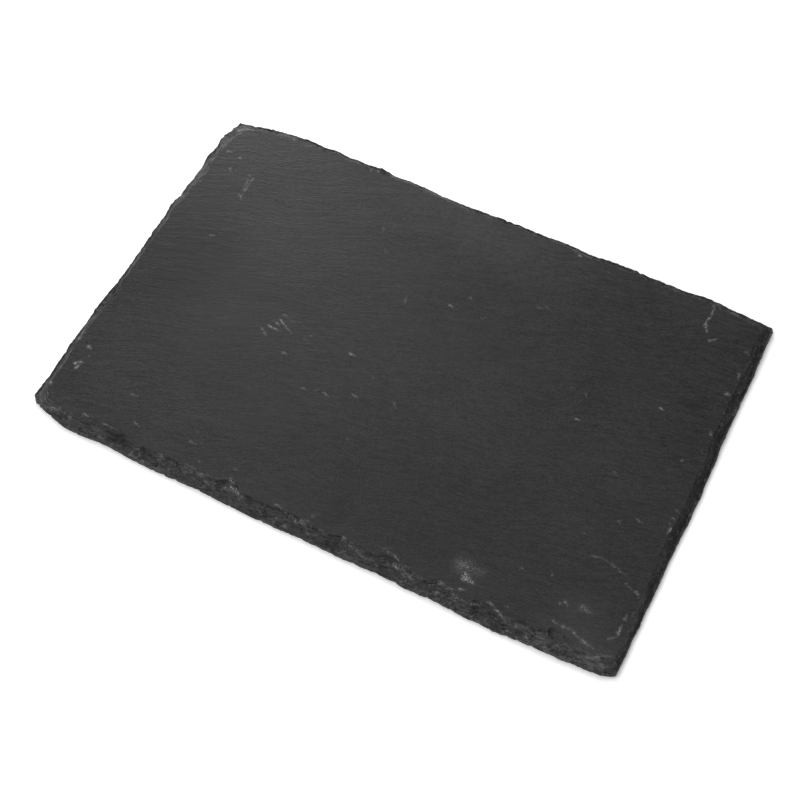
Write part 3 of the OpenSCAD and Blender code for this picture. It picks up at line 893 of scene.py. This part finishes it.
# Patterns of the slate: sizes along the grain, across it and in height, detail, distortion
SLATE_PATTERNS = {
    "hair": ((4.5, 0.85, 0.4), 3, 0.4),
    "bands": ((18, 2.6, 1.0), 3, 0.4),
    "mottle": ((30, 20, 20), 3, 0),
    "specks": ((1.1, 0.7, 0.6), 3, 0),
    "grains": ((0.8, 0.7, 0.7), 2, 0),
    "patches": ((3, 2.2, 2), 2, 0),
    "veil": ((6, 4, 1.2), 3, 0),
    "lamina": ((9, 6, 0.35), 3, 0),
    "lumps": ((1.2, 0.9, 0.5), 4, 0),
}

# How far scuffs stray from their straight lines: length and reach, in millimetres
SCUFF_STRAY = (2.2, 1.6)


def scuff_group():
    """How much one scuff shows at a place, as in marks_at: the fall is the strength over the width."""
    group = bpy.data.node_groups.new("one_scuff", "ShaderNodeTree")
    for name, kind in (("Place", "Vector"), ("Start", "Vector"), ("Run", "Vector"), ("Whole", "Float"),
                       ("Fade", "Float"), ("Fall", "Float"), ("Strength", "Float")):
        group.interface.new_socket(name, in_out="INPUT", socket_type="NodeSocket" + kind)
    group.interface.new_socket("Amount", in_out="OUTPUT", socket_type="NodeSocketFloat")
    given = group.nodes.new("NodeGroupInput").outputs
    result = group.nodes.new("NodeGroupOutput")
    away = vector_math(group, "SUBTRACT", given["Place"], given["Start"])
    share = math(group, "DIVIDE", vector_math(group, "DOT_PRODUCT", away, given["Run"]), given["Whole"])
    share = math(group, "MINIMUM", math(group, "MAXIMUM", share, 0.0), 1.0)
    nearest = add_node(group, "VectorMath", given["Run"], operation="SCALE")
    group.links.new(share, nearest.inputs["Scale"])
    distance = vector_math(group, "DISTANCE", away, nearest.outputs[0])
    strength = math(group, "MULTIPLY_ADD", share, given["Fade"], given["Strength"])
    amount = math(group, "MULTIPLY_ADD", distance, given["Fall"], strength)
    group.links.new(amount, result.inputs[0])
    return group


def scuff_amount(tree, flat_place):
    """The strongest scuff at a place."""
    group = scuff_group()
    strongest = 0.0
    for x0, y0, x1, y1, width, strength in placed(SCUFF_PICKS):
        run = Vector((x1 - x0, y1 - y0, 0)) * MM
        node = tree.nodes.new("ShaderNodeGroup")
        node.node_tree = group
        tree.links.new(flat_place, node.inputs["Place"])
        node.inputs["Start"].default_value = (x0 * MM, y0 * MM, 0)
        node.inputs["Run"].default_value = run
        node.inputs["Whole"].default_value = run.dot(run)
        node.inputs["Fade"].default_value = -MARK_FADE * strength
        node.inputs["Fall"].default_value = -strength / (width * MM)
        node.inputs["Strength"].default_value = strength
        strongest = math(tree, "MAXIMUM", node.outputs[0], strongest)
    return strongest


def cloud_amount(tree, flat_place, clouds):
    """All clouds of a table together: each is a soft ellipse that adds or takes its amount."""
    total = None
    for x, y, reach_x, reach_y, amount in clouds:
        away = vector_math(tree, "SUBTRACT", flat_place, (x * MM, y * MM, 0))
        away = vector_math(tree, "DIVIDE", away, (reach_x * MM, reach_y * MM, 1))
        cloud = rescale(tree, vector_math(tree, "LENGTH", away), 0.2, 1.2, amount, 0.0)
        total = cloud if total is None else math(tree, "ADD", total, cloud)
    return total


def weighted_sum(tree, pattern, start, **weights):
    """A number plus each named pattern times its weight."""
    total = start
    for name, weight in weights.items():
        total = math(tree, "MULTIPLY_ADD", pattern[name], weight, total)
    return total


def slate_material():
    """Split slate: dark grey with fine arcs of grain, soft clouds, chalky scuffs and bruised ridges; its
    clouds, the slope's paleness and its bright specks hold painted light, shade and glints as well.
    """
    material, tree, shader = new_material("split_slate")
    place = object_place(tree)
    flat_place = vector_math(tree, "MULTIPLY", place, (1, 1, 0))
    grain = grain_coordinates(tree, place)
    pattern = {name: stretched_noise(tree, grain, *numbers) for name, numbers in SLATE_PATTERNS.items()}
    pale = add_node(tree, "Attribute", attribute_name="pale").outputs["Fac"]
    ridge = add_node(tree, "Attribute", attribute_name="ridge").outputs["Fac"]
    upper = rescale(tree, add_node(tree, "SeparateXYZ", place).outputs["Z"], *UPPER_HEIGHTS)
    strength = math(tree, "ADD", cloud_amount(tree, flat_place, GRAIN_CLOUDS), GRAIN_STRENGTH)

    streaks = weighted_sum(tree, pattern, 0.0, hair=0.42, bands=0.15, specks=0.45)
    tone = math(tree, "MULTIPLY_ADD", streaks, strength, weighted_sum(tree, pattern, 1.0, mottle=0.1))
    # Clouds on the upper side: partly stone tone, partly painted light and shade
    tone = math(tree, "MULTIPLY_ADD", cloud_amount(tree, flat_place, TONE_AND_PAINTED_LIGHT_CLOUDS), upper, tone)
    # The slope's paleness, mottled: partly chalky stone, partly painted light and painted shade
    dust_and_painted_light = weighted_sum(tree, pattern, 1.0, lamina=0.75, veil=0.5, specks=0.5, patches=0.35)
    tone = math(tree, "MAXIMUM", math(tree, "MULTIPLY_ADD", pale, dust_and_painted_light, tone), DARKEST)
    stone = mix_colours(tree, 1.0, SLATE_COLOUR, grey(tree, tone), "MULTIPLY")

    length, reach = (number * MM for number in SCUFF_STRAY)
    stray = vector_math(tree, "SUBTRACT", noise(tree, place, 1 / length, 2, output="Color"), (0.5, 0.5, 0.5))
    stray = vector_math(tree, "MULTIPLY", stray, (reach, reach, 0))
    scuffs = math(tree, "MULTIPLY", scuff_amount(tree, vector_math(tree, "ADD", flat_place, stray)), upper)
    wear = math(tree, "MAXIMUM", scuffs, ridge)
    grit = weighted_sum(tree, pattern, 0.65, patches=0.15, grains=0.8)
    chalk = math(tree, "MULTIPLY", math(tree, "MULTIPLY", wear, wear), grit)
    # Sparse bright specks on the slope in the chalk colour: partly chalky flakes, partly painted glints
    flakes_and_glints = rescale(tree, math(tree, "ADD", pattern["grains"], pattern["patches"]), 1.15, 1.8, 0.0, 0.4)
    flakes_and_glints = math(tree, "MULTIPLY", flakes_and_glints, rescale(tree, pale, 0.1, 0.4))
    chalk = math(tree, "MAXIMUM", chalk, flakes_and_glints, clamp=True)
    tree.links.new(mix_colours(tree, chalk, stone, CHALK_COLOUR), shader.inputs["Base Color"])

    rough = weighted_sum(tree, pattern, 0.54, hair=0.06)
    rough = math(tree, "MAXIMUM", rough, math(tree, "MULTIPLY", chalk, 0.8))
    tree.links.new(rough, shader.inputs["Roughness"])
    shader.inputs["Specular IOR Level"].default_value = 0.37

    riven = weighted_sum(tree, pattern, 0.0, bands=0.3, hair=0.25, specks=0.12)
    riven = math(tree, "MULTIPLY", riven, strength)
    broken = weighted_sum(tree, pattern, 0.0, lamina=0.6, lumps=1.2)
    height = math(tree, "MULTIPLY_ADD", broken, math(tree, "MINIMUM", pale, 1.0), riven)
    add_bump(tree, shader, height, SLATE_BUMP)
    return material


def rubber_material():
    """Matt black rubber with a faint moulded mottle and fine pores."""
    material, tree, shader = new_material("foot_rubber")
    place = object_place(tree)
    mottle = noise(tree, place, 1 / (1.5 * MM), 4)
    tone = rescale(tree, mottle, 0.3, 0.7, 0.012, 0.03)
    tree.links.new(grey(tree, tone), shader.inputs["Base Color"])
    tree.links.new(rescale(tree, mottle, 0.3, 0.7, 0.6, 0.8), shader.inputs["Roughness"])
    add_bump(tree, shader, noise(tree, place, 1 / (0.25 * MM), 2), 0.03)
    return material


FILM_COLOUR = (0.62, 0.6, 0.53, 1)
WETTED_COLOUR = (0.42, 0.41, 0.37, 1)


def adhesive_material():
    """Milky adhesive film with small clear patches where it has wetted the stone."""
    material, tree, shader = new_material("adhesive_film")
    patches = noise(tree, object_place(tree), 1 / (1.2 * MM), 3)
    film = mix_colours(tree, rescale(tree, patches, 0.45, 0.6), FILM_COLOUR, WETTED_COLOUR)
    tree.links.new(film, shader.inputs["Base Color"])
    tree.links.new(rescale(tree, patches, 0.3, 0.7, 0.3, 0.5), shader.inputs["Roughness"])
    return material


# Half profile of a foot pad as shares of its radius and height: sole with two rings, rounded rim, side
FOOT_PROFILE_SHARES = (
    (0.0, 0.06), (0.3, 0.06), (0.34, 0.02), (0.37, 0.0), (0.5, 0.0), (0.53, 0.02), (0.56, 0.05),
    (0.6, 0.05), (0.63, 0.02), (0.66, 0.0), (0.88, 0.0), (0.925, 0.02), (0.96, 0.07), (0.985, 0.15),
    (1.0, 0.27), (1.0, 0.6), (0.995, 0.9), (0.985, 0.965), (0.96, 1.0), (0.0, 1.0),
)
FOOT_STEPS = 72


def lathe(profile, middle, steps):
    """Turns a profile of radii and heights round an upright axis: middle plus radius times (cos, sin)."""
    turn = np.arange(steps) / steps * 2 * np.pi
    circle = np.column_stack([np.cos(turn), np.sin(turn)])
    rings = [
        np.column_stack([middle[:2] + radius * circle, np.full(steps, height)])
        for radius, height in profile[1:-1]
    ]
    ends = [[middle[0], middle[1], profile[0][1]], [middle[0], middle[1], profile[-1][1]]]
    points = np.concatenate([*rings, ends])
    here = np.arange(steps)
    after = np.roll(here, -1)
    quads = np.concatenate([
        np.column_stack([here, after, after + steps, here + steps]) + steps * number
        for number in range(len(rings) - 1)
    ])
    low, high = len(points) - 2, len(points) - 1
    top = steps * (len(rings) - 1)
    triangles = np.concatenate([
        np.column_stack([after, here, np.full(steps, low)]),
        np.column_stack([here + top, after + top, np.full(steps, high)]),
    ])
    return points, quads, triangles


def build_foot(node, material):
    """One rubber pad in place of the plain solid pad, with anti-slip rings in its sole."""
    low, high = (np.array(corner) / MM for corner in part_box(node))
    middle, radius = (low + high) / 2, (high[0] - low[0]) / 2
    profile = [(r * radius, low[2] + h * (high[2] - low[2])) for r, h in FOOT_PROFILE_SHARES]
    points, quads, triangles = lathe(profile, middle, FOOT_STEPS)
    piece = mesh_object(node + "_pad", points, quads, triangles, material, RUBBER_SHARP_ANGLE)
    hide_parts(node)
    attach(piece, "root")


def set_finish(node, material):
    """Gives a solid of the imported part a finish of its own."""
    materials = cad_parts[node].data.materials
    materials.clear()
    materials.append(material)


def add_camera():
    """The photograph's camera."""
    data = bpy.data.cameras.new("photo_camera")
    data.lens = CAMERA_LENS
    data.sensor_width = SENSOR_WIDTH
    data.clip_start = 0.01
    camera = add_object("photo_camera", data)
    camera.matrix_world = Matrix.Translation(CAMERA_PLACE) @ camera_turn().to_4x4()
    bpy.context.scene.camera = camera


# Square lamps that face the board: name, place and side in metres, power
SOFTBOXES = (
    ("corner_softbox", (-0.34, 0.36, 0.26), 0.3, 1.2),
    ("back_left_softbox", (-0.45, 0.75, 1.05), 0.8, 2.2),
    ("overhead_softbox", (0.0, 0.1, 1.4), 1.0, 4.4),
    ("front_softbox", (-0.3, -0.65, 1.0), 0.8, 8.0),
)


def add_softbox(name, place, size, power):
    """A square lamp that faces the board."""
    data = bpy.data.lights.new(name, "AREA")
    data.shape = "SQUARE"
    data.size = size
    data.energy = power
    lamp = add_object(name, data)
    lamp.location = place
    lamp.rotation_euler = (-Vector(place)).to_track_quat("-Z", "Y").to_euler()


# How much the floor is lifted to white: deep under the board, at its outline and beside it. The lower lift
# near and under the board is painted shadow, which makes the contact shadow darker and narrower. The steps
# between them meet HALO_START inside the nominal outline and take HALO_REACH each, in millimetres. Over
# FLOOR_FADE, in metres from the middle, the lift rises to 1.
FLOOR_LIFTS = (0.05, 0.27, 0.5)
HALO_START = 0.5
HALO_REACH = 3.5
FLOOR_FADE = (0.4, 1.1)
FLOOR_HALF_SIZE = 3.0


def outline_planes():
    """Outward normal and distance from the middle of each side and each straight corner break."""
    planes = []
    for axis, half in enumerate(HALF_SIZE):
        for way in (-1, 1):
            planes.append((way * np.eye(2)[axis], half))
    for corner, cuts in zip(CORNERS, CORNER_LEG_SHARES):
        for cut in cuts:
            normal = corner / (np.array(cut) * CORNER_BREAK)
            size = np.hypot(*normal)
            planes.append((normal / size, (abs(normal) @ (HALF_SIZE + EDGE_PROUD) - 1) / size))
    return planes


def floor_material():
    """Pale floor: it keeps the shadow, and the rest comes out white to the camera and in reflections; close
    to and under the board the white is lower, a painted shadow.
    """
    material, tree, shader = new_material("pale_floor")
    shader.inputs["Base Color"].default_value = (0.95, 0.95, 0.95, 1)
    shader.inputs["Roughness"].default_value = 0.9
    shader.inputs["Specular IOR Level"].default_value = 0.1
    paths = add_node(tree, "LightPath").outputs
    seen = math(tree, "MAXIMUM", paths["Is Camera Ray"], paths["Is Glossy Ray"])
    seen = math(tree, "MAXIMUM", seen, paths["Is Transmission Ray"])
    place = object_place(tree)
    outside = -HALO_REACH * MM
    for normal, reach in outline_planes():
        across = vector_math(tree, "DOT_PRODUCT", place, (*normal, 0))
        outside = math(tree, "MAXIMUM", math(tree, "SUBTRACT", across, (reach - HALO_START) * MM), outside)
    # Painted shadow: less lift under the board and at its outline
    deep, edge, clear = FLOOR_LIFTS
    under = rescale(tree, outside, -HALO_REACH * MM, 0.0, deep, edge)
    beside = rescale(tree, outside, 0.0, HALO_REACH * MM, 0.0, clear - edge)
    near = math(tree, "ADD", under, beside)
    lift = rescale(tree, vector_math(tree, "LENGTH", place), *FLOOR_FADE, near, 1.0)
    shader.inputs["Emission Color"].default_value = (1, 1, 1, 1)
    tree.links.new(math(tree, "MULTIPLY", seen, lift), shader.inputs["Emission Strength"])
    return material


def add_floor():
    """A wide pale floor under the feet."""
    mesh = bpy.data.meshes.new("floor")
    mesh.from_pydata([(x * FLOOR_HALF_SIZE, y * FLOOR_HALF_SIZE, 0) for x, y in CORNERS], [], [(0, 1, 2, 3)])
    mesh.materials.append(floor_material())
    add_object("floor", mesh)


WORLD_LIGHT = 0.02


def add_world():
    """Even white surroundings, plain white to the camera."""
    world = bpy.data.worlds.new("surroundings")
    world.use_nodes = True
    tree = world.node_tree
    seen = add_node(tree, "LightPath").outputs["Is Camera Ray"]
    background = tree.nodes["Background"]
    background.inputs["Color"].default_value = (1, 1, 1, 1)
    tree.links.new(rescale(tree, seen, 0, 1, WORLD_LIGHT, 1), background.inputs["Strength"])
    bpy.context.scene.world = world


bpy.context.scene.view_settings.view_transform = "Standard"
add_camera()
add_world()
add_floor()
for softbox in SOFTBOXES:
    add_softbox(*softbox)

build_slab(slate_material())
rubber = rubber_material()
adhesive = adhesive_material()
for corner in ("front_left", "front_right", "back_left", "back_right"):
    build_foot(corner + "_foot", rubber)
    set_finish(corner + "_adhesive", adhesive)
